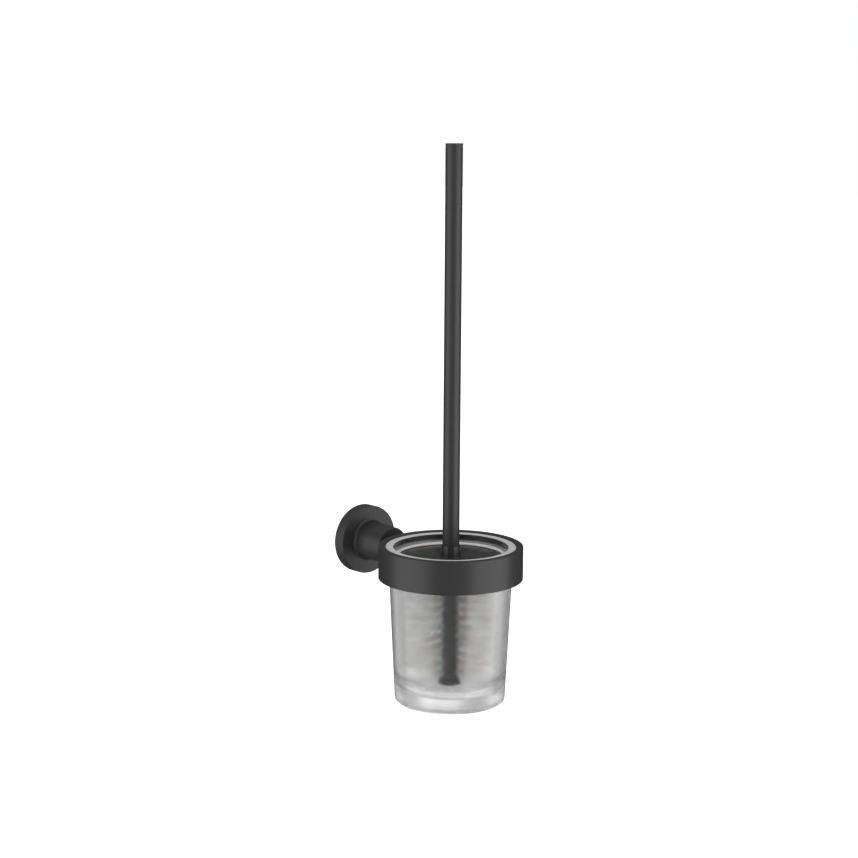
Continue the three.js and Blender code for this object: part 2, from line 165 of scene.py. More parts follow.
def group(name, inputs, outputs):
    """An empty node group with named sockets, and its input and output nodes."""
    tree = bpy.data.node_groups.new(name, "ShaderNodeTree")
    kinds = {"value": "NodeSocketFloat", "colour": "NodeSocketColor"}
    for socket, kind in inputs.items():
        tree.interface.new_socket(socket, in_out="INPUT", socket_type=kinds[kind])
    for socket, kind in outputs.items():
        tree.interface.new_socket(socket, in_out="OUTPUT", socket_type=kinds[kind])
    return tree, tree.nodes.new("NodeGroupInput"), tree.nodes.new("NodeGroupOutput")


def grain_group():
    """Fine surface grain: mottled colour, uneven roughness, and a height for the bump."""
    tree, given, result = group(
        "surface grain",
        {"Colour": "colour", "Mottle": "value", "Grain per metre": "value",
         "Roughness": "value", "Unevenness": "value"},
        {"Colour": "colour", "Roughness": "value", "Height": "value"},
    )
    place = add(tree, "TexCoord").outputs["Object"]
    fine = add(tree, "TexNoise", {"Vector": place, "Scale": given.outputs["Grain per metre"],
                                  "Detail": 3.0, "Roughness": 0.6})
    broad = add(tree, "TexNoise", {"Vector": place, "Scale": 55.0, "Detail": 4.0})
    spread = add(tree, "Math", {0: broad.outputs["Fac"], 1: 0.5}, operation="SUBTRACT")
    shade = add(tree, "Math", {0: spread.outputs[0], 1: given.outputs["Mottle"]}, operation="MULTIPLY")
    bright = add(tree, "Math", {0: shade.outputs[0], 1: 1.0}, operation="ADD")
    colour = add(tree, "HueSaturation", {"Color": given.outputs["Colour"], "Value": bright.outputs[0]})
    fine_spread = add(tree, "Math", {0: fine.outputs["Fac"], 1: 0.5}, operation="SUBTRACT")
    both = add(tree, "Math", {0: fine_spread.outputs[0], 1: spread.outputs[0]}, operation="ADD")
    uneven = add(tree, "Math", {0: both.outputs[0], 1: given.outputs["Unevenness"]}, operation="MULTIPLY")
    rough = add(tree, "Math", {0: given.outputs["Roughness"], 1: uneven.outputs[0]},
                operation="ADD", use_clamp=True)
    tree.links.new(colour.outputs["Color"], result.inputs["Colour"])
    tree.links.new(rough.outputs[0], result.inputs["Roughness"])
    tree.links.new(fine.outputs["Fac"], result.inputs["Height"])
    return tree


def edge_wear_and_highlight_group():
    """A mask of the outer edges, broken up as rubbing breaks it. It lightens them partly as wear and
    partly as a painted highlight.
    """
    tree, given, result = group("edge wear and painted highlight", {"Width": "value"}, {"Mask": "value"})
    flat = add(tree, "NewGeometry").outputs["Normal"]
    soft = add(tree, "Bevel", {"Radius": given.outputs["Width"]}, samples=4).outputs["Normal"]
    agree = add(tree, "VectorMath", {0: flat, 1: soft}, operation="DOT_PRODUCT")
    place = add(tree, "TexCoord").outputs["Object"]
    breaks = add(tree, "TexNoise", {"Vector": place, "Scale": 240.0, "Detail": 5.0})
    turned_away = add(tree, "MapRange", {"Value": agree.outputs["Value"], "From Min": 0.995,
                                         "From Max": 0.90, "To Min": 0.0, "To Max": 1.0})
    mask = add(tree, "Math", {0: turned_away.outputs[0], 1: breaks.outputs["Fac"]}, operation="MULTIPLY",
               use_clamp=True)
    tree.links.new(mask.outputs[0], result.inputs["Mask"])
    return tree


GRAIN = grain_group()
EDGE_WEAR_AND_HIGHLIGHT = edge_wear_and_highlight_group()


def material(name, colour, roughness, grain_size, grain_height, mottle=0.15, unevenness=0.1,
             metallic=0.0, worn_and_highlit=None, edge_mask_width=0.4 * mm, **sockets):
    """A grainy finish on the Principled shader. worn_and_highlit is the lighter colour that the outer
    edges take, partly rubbed wear and partly a painted highlight.
    """
    made = bpy.data.materials.new(name)
    made.use_nodes = True
    tree = made.node_tree
    shader = tree.nodes["Principled BSDF"]
    grain = add(tree, "Group", node_tree=GRAIN)
    values = {"Colour": (*colour, 1), "Mottle": mottle, "Grain per metre": 1 / grain_size,
              "Roughness": roughness, "Unevenness": unevenness}
    for socket, value in values.items():
        grain.inputs[socket].default_value = value
    final = grain.outputs["Colour"]
    # Lighter outer edges: partly wear, partly a painted highlight along the edges.
    if worn_and_highlit:
        edge = add(tree, "Group", node_tree=EDGE_WEAR_AND_HIGHLIGHT)
        edge.inputs["Width"].default_value = edge_mask_width
        mix = add(tree, "Mix", data_type="RGBA")
        tree.links.new(edge.outputs["Mask"], mix.inputs["Factor"])
        tree.links.new(final, mix.inputs[6])
        mix.inputs[7].default_value = (*worn_and_highlit, 1)
        final = mix.outputs[2]
    bump = add(tree, "Bump", {"Height": grain.outputs["Height"], "Distance": grain_height,
                              "Strength": 0.6})
    tree.links.new(final, shader.inputs["Base Color"])
    tree.links.new(grain.outputs["Roughness"], shader.inputs["Roughness"])
    tree.links.new(bump.outputs["Normal"], shader.inputs["Normal"])
    shader.inputs["Metallic"].default_value = metallic
    for socket, value in sockets.items():
        shader.inputs[socket.replace("_", " ")].default_value = value
    return made


bare_zinc = material("die-cast zinc", (0.42, 0.43, 0.44), roughness=0.48, grain_size=0.9 * mm,
                     grain_height=0.05 * mm, metallic=0.9, worn_and_highlit=(0.7, 0.7, 0.71))

along_arm = Matrix.Rotation(math.radians(90), 4, "X")  # heights run out from the wall, along -Y
bracket_low, bracket_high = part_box("wall_bracket")
plate_radius = bracket_high.x
plate_depth = 4.5 * mm
boss_radius = 13 * mm
boss_depth = 7.8 * mm
hub_radius = 9 * mm
hub_depth = -bracket_low.y
slot_pitch = 36 * mm
slot_width = 5 * mm
slot_length = 8 * mm
slot_sides = 48
seat_depth = 1.2 * mm  # the countersunk seat of a wall screw's head
seat_width = 1.4 * mm

plate = turned(
    "wall_bracket_casting",
    rounded([(0, 0, 0), (plate_radius, 0, 0.4 * mm), (plate_radius, plate_depth, 1.0 * mm),
             (boss_radius, plate_depth, 0.8 * mm), (boss_radius, boss_depth, 0.6 * mm),
             (hub_radius, boss_depth, 0.6 * mm), (hub_radius, hub_depth, 1.0 * mm), (0, hub_depth, 0)]),
    along_arm,
)


def slot_cutter(x):
    """A long hole with round ends, wider at the front for the screw's head."""
    straight = (slot_length - slot_width) / 2
    behind = -1 * mm
    in_front = plate_depth + 0.2 * mm
    shape = bmesh.new()
    rims = []
    for depth, radius in ((behind, slot_width / 2), (plate_depth - seat_depth, slot_width / 2),
                          (in_front, slot_width / 2 + seat_width)):
        rim = []
        for k in range(slot_sides):
            a = 2 * math.pi * (k + 0.5) / slot_sides
            z = radius * math.sin(a) + math.copysign(straight, math.sin(a))
            rim.append(shape.verts.new((x + radius * math.cos(a), -depth, z)))
        rims.append(rim)
    for low, high in zip(rims, rims[1:]):
        for k in range(slot_sides):
            j = (k + 1) % slot_sides
            shape.faces.new((low[k], low[j], high[j], high[k]))
    shape.faces.new(rims[0])
    shape.faces.new(rims[-1])
    return add_object("slot cutter", shape)


cut(plate, slot_cutter(-slot_pitch / 2), slot_cutter(slot_pitch / 2))
fit(plate, "holder", "bracket_zinc", "wall_bracket", material=bare_zinc)


# ------------------------------------------------------------------ rosette
# A cup turned from brass and powder coated black. It slips over the bracket's hub and is
# held against the wall by the post. Its front edge is slightly rounded.

black_coat = material("black powder coat", (0.019, 0.019, 0.0195), roughness=0.38,
                      grain_size=0.45 * mm, grain_height=0.010 * mm, mottle=0.12,
                      unevenness=0.08, worn_and_highlit=(0.05, 0.05, 0.051))

rosette_low, rosette_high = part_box("rosette")
rosette_radius = rosette_high.x
rosette_depth = -rosette_low.y
rosette_wall = 2 * mm
rosette_hole = hub_radius + 0.3 * mm
rosette_inside = rosette_depth - rosette_wall

rosette = turned(
    "rosette_cover",
    rounded([(rosette_radius - rosette_wall, 0, 0.2 * mm), (rosette_radius, 0, 0.2 * mm),
             (rosette_radius, rosette_depth, 0.7 * mm), (rosette_hole, rosette_depth, 0.3 * mm),
             (rosette_hole, rosette_inside, 0.2 * mm),
             (rosette_radius - rosette_wall, rosette_inside, 0.8 * mm)]),
    along_arm, sides=160,
)
fit(rosette, "holder", "black_paint", "rosette", material=black_coat)


# ------------------------------------------------------------------ post
# A brass sleeve, slightly tapered, with a small fillet where it meets the rosette and a
# rounded front edge. A headless screw from below clamps it on the bracket's hub.

plain_steel = material("plain steel", (0.55, 0.56, 0.57), roughness=0.3, grain_size=0.3 * mm,
                       grain_height=0.01 * mm, metallic=1.0, worn_and_highlit=(0.75, 0.75, 0.76))

post_low, post_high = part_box("post")
post_foot = -post_high.y
post_front = -post_low.y
post_flare = 2 * mm
post_foot_radius = post_high.x - post_flare
post_front_radius = 14.7 * mm
post_land = 0.3 * mm
socket_radius = hub_radius + 0.3 * mm
socket_end = hub_depth + 0.3 * mm
ring_bolt_hole = 2.8 * mm

post = turned(
    "post_sleeve",
    rounded([(socket_radius, post_foot, 0),
             (post_foot_radius + post_flare, post_foot, 0),
             (post_foot_radius + post_flare, post_foot + post_land, 0),
             (post_foot_radius, post_foot + post_land, post_flare * 0.95),
             (post_front_radius, post_front, 0.8 * mm),
             (ring_bolt_hole, post_front, 0.2 * mm),
             (ring_bolt_hole, socket_end, 0),
             (socket_radius, socket_end, 0)], steps=6),
    along_arm, sides=160,
)


def rod_cutter(name, radius, foot, top, place, sides):
    """A plain cylinder or prism from foot to top along Z, moved with the matrix."""
    return turned(name, [Vector((0, foot)), Vector((radius, foot)), Vector((radius, top)),
                         Vector((0, top))], place, sides)


def hex_socket(across_flats, foot, top, place):
    """The cutter for a hexagonal key socket."""
    return rod_cutter("key socket", across_flats / math.sqrt(3), foot, top, place, sides=6)


clear = 0.25 * mm  # room round a screw, and between the neck's saddle and the ring
screw_low, screw_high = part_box("post_set_screw")
screw_radius = screw_high.x
screw_depth = -(screw_low.y + screw_high.y) / 2
screw_place = Matrix.Translation((0, -screw_depth, 0))
cut(post, rod_cutter("screw hole", screw_radius + clear, -1.2 * post_foot_radius, -0.9 * hub_radius,
                     screw_place, sides=48))
fit(post, "holder", "black_paint", "post", material=black_coat)


def thread(radius, pitch, foot, top):
    """The outline of a machine screw's flank, as a run of fine ridges."""
    count = int((top - foot) / pitch)
    root_radius = radius - 0.55 * pitch
    crest_foot = 0.45 * pitch
    crest_top = 0.55 * pitch
    points = []
    for k in range(count):
        low = foot + k * pitch
        points += [Vector((root_radius, low)), Vector((radius, low + crest_foot)),
                   Vector((radius, low + crest_top))]
    return points


set_screw = turned(
    "post_grub_screw",
    [Vector((0, screw_low.z)), Vector((screw_radius - 0.7 * mm, screw_low.z))]
    + thread(screw_radius, 0.7 * mm, screw_low.z + 0.2 * mm, screw_high.z - 0.6 * mm)
    + [Vector((screw_radius - 1.2 * mm, screw_high.z)), Vector((0, screw_high.z))],
    screw_place, sides=48,
)
cut(set_screw, hex_socket(2.5 * mm, screw_low.z - 1 * mm, screw_low.z + 2.3 * mm, screw_place))
fit(set_screw, "holder", "steel", "post_set_screw", material=plain_steel)


# ------------------------------------------------------------------ neck, bolt and pin
# A short spacer holds the ring clear of the post. Its end is saddled to the ring, a dowel
# keeps the ring level, and one countersunk bolt from inside the ring clamps them together.

ring_low, ring_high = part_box("holder_ring")
ring_radius = ring_high.x
ring_axis = Vector((0, (ring_low.y + ring_high.y) / 2, 0))
ring_top = ring_high.z
arm_reach = -ring_axis.y
ring_place = Matrix.Translation((0, ring_axis.y, ring_top))  # heights count from the ring's top

neck_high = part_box("ring_neck")[1]
neck_radius = neck_high.x
neck_start = -neck_high.y
neck_end = arm_reach - 0.9 * ring_radius  # inside the ring, before the saddle is cut
neck = turned(
    "ring_neck_spacer",
    rounded([(ring_bolt_hole, neck_start, 0), (neck_radius, neck_start, 0.4 * mm),
             (neck_radius, neck_end, 0), (ring_bolt_hole, neck_end, 0)]),
    along_arm, sides=96,
)
saddle_foot = -60 * mm
saddle_top = 30 * mm
cut(neck, rod_cutter("saddle", ring_radius + clear, saddle_foot, saddle_top, ring_place, sides=160))
fit(neck, "holder", "black_paint", "ring_neck", material=black_coat)

bolt_low, bolt_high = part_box("ring_bolt")
bolt_foot = -bolt_high.y
bolt_top = -bolt_low.y
bolt_head_radius = bolt_high.x
bolt_shank = 2.5 * mm
bolt_head = 2.6 * mm
thread_end = bolt_foot + 12 * mm
bolt_outline = (
    [Vector((0, bolt_foot))]
    + thread(bolt_shank, 0.8 * mm, bolt_foot, thread_end)
    + [Vector((bolt_shank, thread_end + 0.4 * mm)), Vector((bolt_shank, bolt_top - bolt_head)),
       Vector((bolt_head_radius, bolt_top - 0.3 * mm)), Vector((bolt_head_radius, bolt_top)),
       Vector((0, bolt_top))]
)
bolt = turned("ring_clamp_bolt", bolt_outline, along_arm, sides=64)
cut(bolt, hex_socket(3 * mm, bolt_top - 1.7 * mm, bolt_top + 1 * mm, along_arm))
fit(bolt, "holder", "steel", "ring_bolt", material=plain_steel)

pin_low, pin_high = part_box("anti_rotation_pin")
pin_radius = pin_high.x
pin = turned(
    "levelling_dowel",
    rounded([(0, -pin_high.y, 0), (pin_radius, -pin_high.y, 0.4 * mm),
             (pin_radius, -pin_low.y, 0.4 * mm), (0, -pin_low.y, 0)]),
    Matrix.Translation((0, 0, (pin_low.z + pin_high.z) / 2)) @ along_arm, sides=48,
)
fit(pin, "holder", "steel", "anti_rotation_pin", material=plain_steel)


# ------------------------------------------------------------------ ring
# A heavy band turned from brass and powder coated black, with crisp, barely broken edges
# and a lip inside its foot. The bolt's countersunk hole comes through its back wall.

ring_wall = 5.1 * mm
ring_height = ring_high.z - ring_low.z
bore_radius = ring_radius - ring_wall
lip_radius = 48.05 * mm
lip_height = 3 * mm
lip_top = lip_height - ring_height
ring_edge = 0.35 * mm

ring = turned(
    "holder_ring_band",
    rounded([(lip_radius, -ring_height, ring_edge), (ring_radius, -ring_height, ring_edge),
             (ring_radius, 0, ring_edge), (bore_radius, 0, ring_edge),
             (bore_radius, lip_top, 0), (lip_radius, lip_top, ring_edge)]),
    ring_place, sides=256,
)
hole_start = arm_reach - ring_radius - 5 * mm
hole_end = arm_reach - bore_radius + 5 * mm
countersink = turned("countersink", [Vector(p) for p in (
    (0, hole_start), (bolt_shank + clear, hole_start), (bolt_shank + clear, bolt_top - bolt_head - clear),
    (bolt_head_radius + clear, bolt_top - clear), (bolt_head_radius + clear, hole_end), (0, hole_end),
)], along_arm, sides=64)
cut(ring, countersink)
fit(ring, "holder", "black_paint", "holder_ring", material=black_coat)


# ------------------------------------------------------------------ inlay
# A translucent plastic liner that stands on the ring's lip. The glass rests on it, so that
# glass and metal never touch.

milky_plastic = material("milky plastic", (0.62, 0.63, 0.62), roughness=0.42, grain_size=1.2 * mm,
                         grain_height=0.02 * mm, mottle=0.06, Subsurface_Weight=0.4,
                         Subsurface_Scale=4 * mm)

inlay_low, inlay_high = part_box("ring_inlay")
inlay_foot = inlay_low.z - ring_top
inlay_top = inlay_high.z - ring_top
inlay_radius = inlay_high.x
inlay_wall = 1.6 * mm
glass_taper = 0.0468  # radius gained for each metre of height
inlay_bore_top = inlay_radius - inlay_wall
inlay_bore_foot = inlay_bore_top - glass_taper * (inlay_top - inlay_foot)
inlay = turned(
    "ring_inlay_liner",
    rounded([(inlay_bore_foot, inlay_foot, 0.3 * mm), (inlay_radius, inlay_foot, 0.3 * mm),
             (inlay_radius, inlay_top, 0.3 * mm), (inlay_bore_top, inlay_top, 0.3 * mm)]),
    ring_place, sides=160,
)
fit(inlay, "holder", "clear_plastic", "ring_inlay", material=milky_plastic)


# ------------------------------------------------------------------ glass
# A heavy pressed tumbler, tapered, with a collar that hangs in the ring and a solid base.
# Its walls are satin etched and slightly wavy, as pressed glass is. Its rim is ground.

glass_low, glass_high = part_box("glass_tumbler")
frost_top = glass_low.z + 26 * mm  # the etch grows heavier from here down to the foot
frost_foot = glass_low.z + 8 * mm


def frost_group():
    """Etched glass: roughness that clouds over, and a height of fine frost on slow waves."""
    tree, given, result = group(
        "etched frost",
        {"Roughness": "value", "Clouds": "value", "Foot Frost": "value", "Wave Height": "value",
         "Frost Height": "value"},
        {"Roughness": "value", "Height": "value"},
    )
    place = add(tree, "TexCoord").outputs["Object"]
    flattened = add(tree, "Mapping", {"Vector": place, "Scale": (1.0, 1.0, 2.2)})
    clouds = add(tree, "TexNoise", {"Vector": flattened.outputs[0], "Scale": 90.0, "Detail": 3.0})
    waves = add(tree, "TexNoise", {"Vector": flattened.outputs[0], "Scale": 60.0, "Detail": 1.0})
    frost = add(tree, "TexNoise", {"Vector": place, "Scale": 3000.0, "Detail": 2.0})
    spread = add(tree, "Math", {0: clouds.outputs["Fac"], 1: 0.5}, operation="SUBTRACT")
    cloudy = add(tree, "Math", {0: spread.outputs[0], 1: given.outputs["Clouds"]}, operation="MULTIPLY")
    height = add(tree, "SeparateXYZ", {"Vector": place}).outputs["Z"]
    near_foot = add(tree, "MapRange", {"Value": height, "From Min": frost_top, "From Max": frost_foot})
    footed = add(tree, "Math", {0: near_foot.outputs[0], 1: given.outputs["Foot Frost"]},
                 operation="MULTIPLY")
    etched = add(tree, "Math", {0: cloudy.outputs[0], 1: footed.outputs[0]}, operation="ADD")
    rough = add(tree, "Math", {0: etched.outputs[0], 1: given.outputs["Roughness"]},
                operation="ADD", use_clamp=True)
    slow = add(tree, "Math", {0: waves.outputs["Fac"], 1: given.outputs["Wave Height"]},
               operation="MULTIPLY")
    fine = add(tree, "Math", {0: frost.outputs["Fac"], 1: given.outputs["Frost Height"]},
               operation="MULTIPLY")
    relief = add(tree, "Math", {0: slow.outputs[0], 1: fine.outputs[0]}, operation="ADD")
    tree.links.new(rough.outputs[0], result.inputs["Roughness"])
    tree.links.new(relief.outputs[0], result.inputs["Height"])
    return tree


FROST = frost_group()


def glass_finish(name, tint, roughness, clouds, foot_frost, wave, frost, transmission=1.0):
    """Etched glass that lets part of the lamplight through to what stands inside it."""
    made = bpy.data.materials.new(name)
    made.use_nodes = True
    tree = made.node_tree
    shader = tree.nodes["Principled BSDF"]
    shader.inputs["Base Color"].default_value = (tint, tint, tint, 1)
    shader.inputs["Transmission Weight"].default_value = transmission
    shader.inputs["IOR"].default_value = 1.5
    etched = add(tree, "Group", node_tree=FROST)
    values = {"Roughness": roughness, "Clouds": clouds, "Foot Frost": foot_frost,
              "Wave Height": wave / mm, "Frost Height": frost / mm}
    for socket, value in values.items():
        etched.inputs[socket].default_value = value
    bump = add(tree, "Bump", {"Height": etched.outputs["Height"], "Distance": 1 * mm, "Strength": 1.0})
    tree.links.new(etched.outputs["Roughness"], shader.inputs["Roughness"])
    tree.links.new(bump.outputs["Normal"], shader.inputs["Normal"])
    clear_path = add(tree, "BsdfTransparent", {"Color": (0.8, 0.8, 0.8, 1)})
    lamp_ray = add(tree, "LightPath").outputs["Is Shadow Ray"]
    mixed = add(tree, "MixShader", {0: lamp_ray, 1: shader.outputs[0], 2: clear_path.outputs[0]})
    tree.links.new(mixed.outputs[0], tree.nodes["Material Output"].inputs["Surface"])
    return made


outer_glass = glass_finish("satin glass outside", tint=0.96, roughness=0.16, clouds=0.08,
                           foot_frost=0.09, wave=0.012 * mm, frost=0.001 * mm)
# The grey tint of the inside faces darkens the view into the cup as painted shade; the etch is the
# roughness.
inner_glass_painted_shade = glass_finish("etched glass inside with painted shade", tint=0.65, roughness=0.20, clouds=0.10,
                           foot_frost=0.20, wave=0.006 * mm, frost=0.001 * mm)
rim_glass = glass_finish("ground glass rim", tint=0.6, roughness=0.5, clouds=0.1,
                         foot_frost=0.0, wave=0.01 * mm, frost=0.002 * mm, transmission=0.3)

rim = glass_high.z - ring_top
foot = glass_low.z - ring_top
glass_rim_radius = 48.7 * mm
glass_wall = 4.3 * mm
glass_base = 8.6 * mm
floor_fillet = 17.5 * mm
collar_radius = glass_high.x
collar_foot = rim - 6 * mm
floor_height = foot + glass_base
hollow_radius = 26 * mm  # a shallow hollow under the base leaves a ring to stand on
hollow_top = foot + 0.8 * mm
stand_radius = 34 * mm


def glass_outside(height):
    return glass_rim_radius + glass_taper * (height - rim)


def glass_inside(height):
    return glass_outside(height) - glass_wall


glass = turned(
    "frosted_glass_tumbler",
    rounded([(0, hollow_top, 0), (hollow_radius, hollow_top, 4 * mm), (stand_radius, foot, 3 * mm),
             (glass_outside(foot), foot, 2.2 * mm),
             (glass_outside(collar_foot), collar_foot, 0.3 * mm),
             (collar_radius, collar_foot, 0.4 * mm), (collar_radius, rim, 0.7 * mm),
             (glass_inside(rim), rim, 0.7 * mm),
             (glass_inside(floor_height), floor_height, floor_fillet), (0, floor_height, 0)], steps=16),
    ring_place, sides=256,
)
fit(glass, "glass", "frosted_glass", "glass_tumbler", material=outer_glass)
glass.data.materials.append(inner_glass_painted_shade)
glass.data.materials.append(rim_glass)
# Inward faces above the base take the grey-tinted glass, which is painted shade in the cup.
for face in glass.data.polygons:
    outward = face.center - ring_axis
    outward.z = 0
    on_rim = face.center.z > glass_high.z - 0.3 * mm
    above_base = face.center.z > glass_low.z + glass_base / 2
    looks_inward = face.normal.dot(outward) < 0 or face.normal.z > 0.9
    if on_rim:
        face.material_index = 2
    elif above_base and looks_inward:
        face.material_index = 1


# ------------------------------------------------------------------ brush core
# A black moulded rod that the bristles are set in, on a wider rounded tip that stands on the
# glass floor. A steel stud joins it to the handle, and an O-ring keeps water out of the thread.

black_plastic = material("black moulded plastic", (0.022, 0.022, 0.023), roughness=0.5,
                         grain_size=0.5 * mm, grain_height=0.01 * mm, mottle=0.1,
                         worn_and_highlit=(0.04, 0.04, 0.041))
black_rubber = material("black rubber", (0.015, 0.015, 0.015), roughness=0.7, grain_size=0.3 * mm,
                        grain_height=0.01 * mm, mottle=0.1)

core_low, core_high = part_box("brush_core")
core_radius = core_high.x
core_top = core_high.z - ring_top
core_foot = core_low.z - ring_top
stud_low, stud_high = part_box("head_stud")
stud_radius = stud_high.x
o_ring_low, o_ring_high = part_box("head_o_ring")
o_ring_outer = o_ring_high.x
o_ring_section = (o_ring_high.z - o_ring_low.z) / 2
groove_radius = o_ring_outer + 0.3 * mm
groove_foot = core_top - 2 * o_ring_section - 0.3 * mm
stud_hole = stud_radius + 0.3 * mm
stud_hole_foot = stud_low.z - ring_top - 1 * mm

core = turned(
    "brush_core_rod",
    rounded([(0, core_foot, 0), (core_radius, core_foot, 0.3 * mm), (core_radius, core_top, 0.5 * mm),
             (groove_radius, core_top, 0), (groove_radius, groove_foot, 0), (stud_hole, groove_foot, 0),
             (stud_hole, stud_hole_foot, 0), (0, stud_hole_foot, 0)]),
    ring_place, sides=64,
)
fit(core, "brush", "dark_plastic", "brush_core", material=black_plastic)

tip_low, tip_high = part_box("core_tip")
tip_radius = tip_high.x
tip_foot = tip_low.z - ring_top
tip_top = tip_high.z - ring_top
tip = turned(
    "brush_core_tip",
    rounded([(0, tip_foot, 0), (tip_radius, tip_foot, 3 * mm), (tip_radius, tip_top, 1.5 * mm),
             (0, tip_top, 0)], steps=8),
    ring_place, sides=64,
)
fit(tip, "brush", "dark_plastic", "core_tip", material=black_plastic)

o_ring_middle = o_ring_outer - o_ring_section
o_ring_height = (o_ring_low.z + o_ring_high.z) / 2 - ring_top
section_sides = 24
section = [2 * math.pi * k / section_sides for k in range(section_sides)]
o_ring = turned(
    "thread_o_ring",
    [Vector((o_ring_middle + o_ring_section * math.cos(a), o_ring_height + o_ring_section * math.sin(a)))
     for a in section],
    ring_place, sides=64,
)
fit(o_ring, "brush", "black_rubber", "head_o_ring", material=black_rubber)

stud_foot = stud_low.z - ring_top
stud_top = stud_high.z - ring_top
stud = turned(
    "head_joining_stud",
    [Vector((0, stud_foot))] + thread(stud_radius, 1 * mm, stud_foot, stud_top) + [Vector((0, stud_top))],
    ring_place, sides=48,
)
fit(stud, "brush", "steel", "head_stud", material=plain_steel)


# ------------------------------------------------------------------ bristles
# Ten rows of white nylon filaments. Each row is three bundles set in the core that fan out
# wide, and the filaments droop or stray a little. The lowest row is cut shorter.

nylon = bpy.data.materials.new("white nylon filament")
nylon.use_nodes = True
nylon_tree = nylon.node_tree
nylon_shader = nylon_tree.nodes["Principled BSDF"]
place = add(nylon_tree, "TexCoord").outputs["Object"]
banded = add(nylon_tree, "Mapping", {"Vector": place, "Scale": (1.0, 1.0, 2.4)})
tufty = add(nylon_tree, "TexNoise", {"Vector": banded.outputs[0], "Scale": 75.0, "Detail": 2.0})
tones = add(nylon_tree, "ValToRGB", {"Fac": tufty.outputs["Fac"]})
tones.color_ramp.elements[0].position = 0.35
tones.color_ramp.elements[0].color = (0.64, 0.64, 0.63, 1)
tones.color_ramp.elements[1].position = 0.65
tones.color_ramp.elements[1].color = (0.93, 0.93, 0.92, 1)
nylon_tree.links.new(tones.outputs["Color"], nylon_shader.inputs["Base Color"])
nylon_shader.inputs["Roughness"].default_value = 0.38
nylon_shader.inputs["Subsurface Weight"].default_value = 0.3
nylon_shader.inputs["Subsurface Scale"].default_value = 1 * mm

ROWS = 10
TUFTS = 3
FILAMENTS = 120
FILAMENT_STEPS = 4
FIRST_TUFT = math.radians(48)
TWIST = math.radians(3)  # between one row and the next
SHORTEST, LONGEST = 0.92, 0.995  # shares of a row's reach
LEAST_DROOP, MOST_DROOP = -0.4, 0.9  # millimetres
socket_spread = 1 * mm
fan = math.radians(44)  # to each side of the bundle's middle
filament_radius = 0.12 * mm
chance = random.Random(7)


def filament(shape, root, direction, length, droop):
    """One three-sided filament from root, bending down a little towards its end."""
    across = direction.cross(Vector((0, 0, 1))).normalized()
    above = across.cross(direction).normalized()
    rings = []
    for step in range(FILAMENT_STEPS + 1):
        share = step / FILAMENT_STEPS
        middle = root + direction * length * share - Vector((0, 0, droop * share ** 2))
        spokes = [math.cos(a) * across + math.sin(a) * above
                  for a in (0, 2 * math.pi / 3, 4 * math.pi / 3)]
        rings.append([shape.verts.new(middle + filament_radius * spoke) for spoke in spokes])
    for low, high in zip(rings, rings[1:]):
        for k in range(3):
            shape.faces.new((low[k], low[(k + 1) % 3], high[(k + 1) % 3], high[k]))
    shape.faces.new(rings[0])
    shape.faces.new(rings[-1])


for row in range(ROWS):
    row_low, row_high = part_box(f"bristle_row_{row + 1}")
    shape = bmesh.new()
    middle = (row_low.z + row_high.z) / 2
    half = (row_high.z - row_low.z) / 2 - filament_radius
    reach = row_high.x
    for tuft in range(TUFTS):
        around = FIRST_TUFT + 2 * math.pi * tuft / TUFTS + TWIST * (row % 2 - 0.5)
        for _ in range(FILAMENTS):
            a = around + chance.gauss(0, socket_spread) / core_radius
            swing = around + chance.uniform(-1, 1) * fan
            start = ring_axis + Vector((core_radius * math.cos(a), core_radius * math.sin(a),
                                        middle + chance.gauss(0, socket_spread)))
            rise = chance.uniform(-1, 1) * half
            end_radius = reach * chance.uniform(SHORTEST, LONGEST) - filament_radius
            end = ring_axis + Vector((end_radius * math.cos(swing), end_radius * math.sin(swing),
                                      middle + rise))
            way = end - start
            droop = chance.uniform(LEAST_DROOP, MOST_DROOP) * mm
            filament(shape, start, way.normalized(), way.length, droop)
    tufts = add_object(f"bristle_tufts_{row + 1}", shape)
    fit(tufts, "brush", "bristle_nylon", f"bristle_row_{row + 1}", material=nylon)


# ------------------------------------------------------------------ handle
# A straight steel tube, powder coated black. A threaded insert is pressed into its foot,
# a flat plug closes its top, and a washer between tube and core stops the lid's bush.

tube_low, tube_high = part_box("handle_tube")
tube_radius = tube_high.x
tube_bore = tube_radius - 1.3 * mm
tube_foot = tube_low.z - ring_top
tube_top = tube_high.z - ring_top
tube = turned(
    "handle_tube_shaft",
    rounded([(tube_bore, tube_foot, 0.2 * mm), (tube_radius, tube_foot, 0.3 * mm),
             (tube_radius, tube_top, 0.08 * mm), (tube_bore, tube_top, 0.08 * mm)]),
    ring_place, sides=96,
)
fit(tube, "brush", "black_paint", "handle_tube", material=black_coat)

cap_low, cap_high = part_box("handle_top_cap")
cap_foot = cap_low.z - ring_top
cap_top = cap_high.z - ring_top
plug_radius = tube_bore - 0.3 * mm
cap_under = tube_top + 0.12 * mm
cap = turned(
    "handle_end_plug",
    rounded([(0, cap_foot, 0), (plug_radius, cap_foot, 0.4 * mm), (plug_radius, cap_under, 0),
             (tube_radius, cap_under, 0.08 * mm), (tube_radius, cap_top, 0.3 * mm), (0, cap_top, 0)]),
    ring_place, sides=96,
)
fit(cap, "brush", "black_paint", "handle_top_cap", material=black_coat)

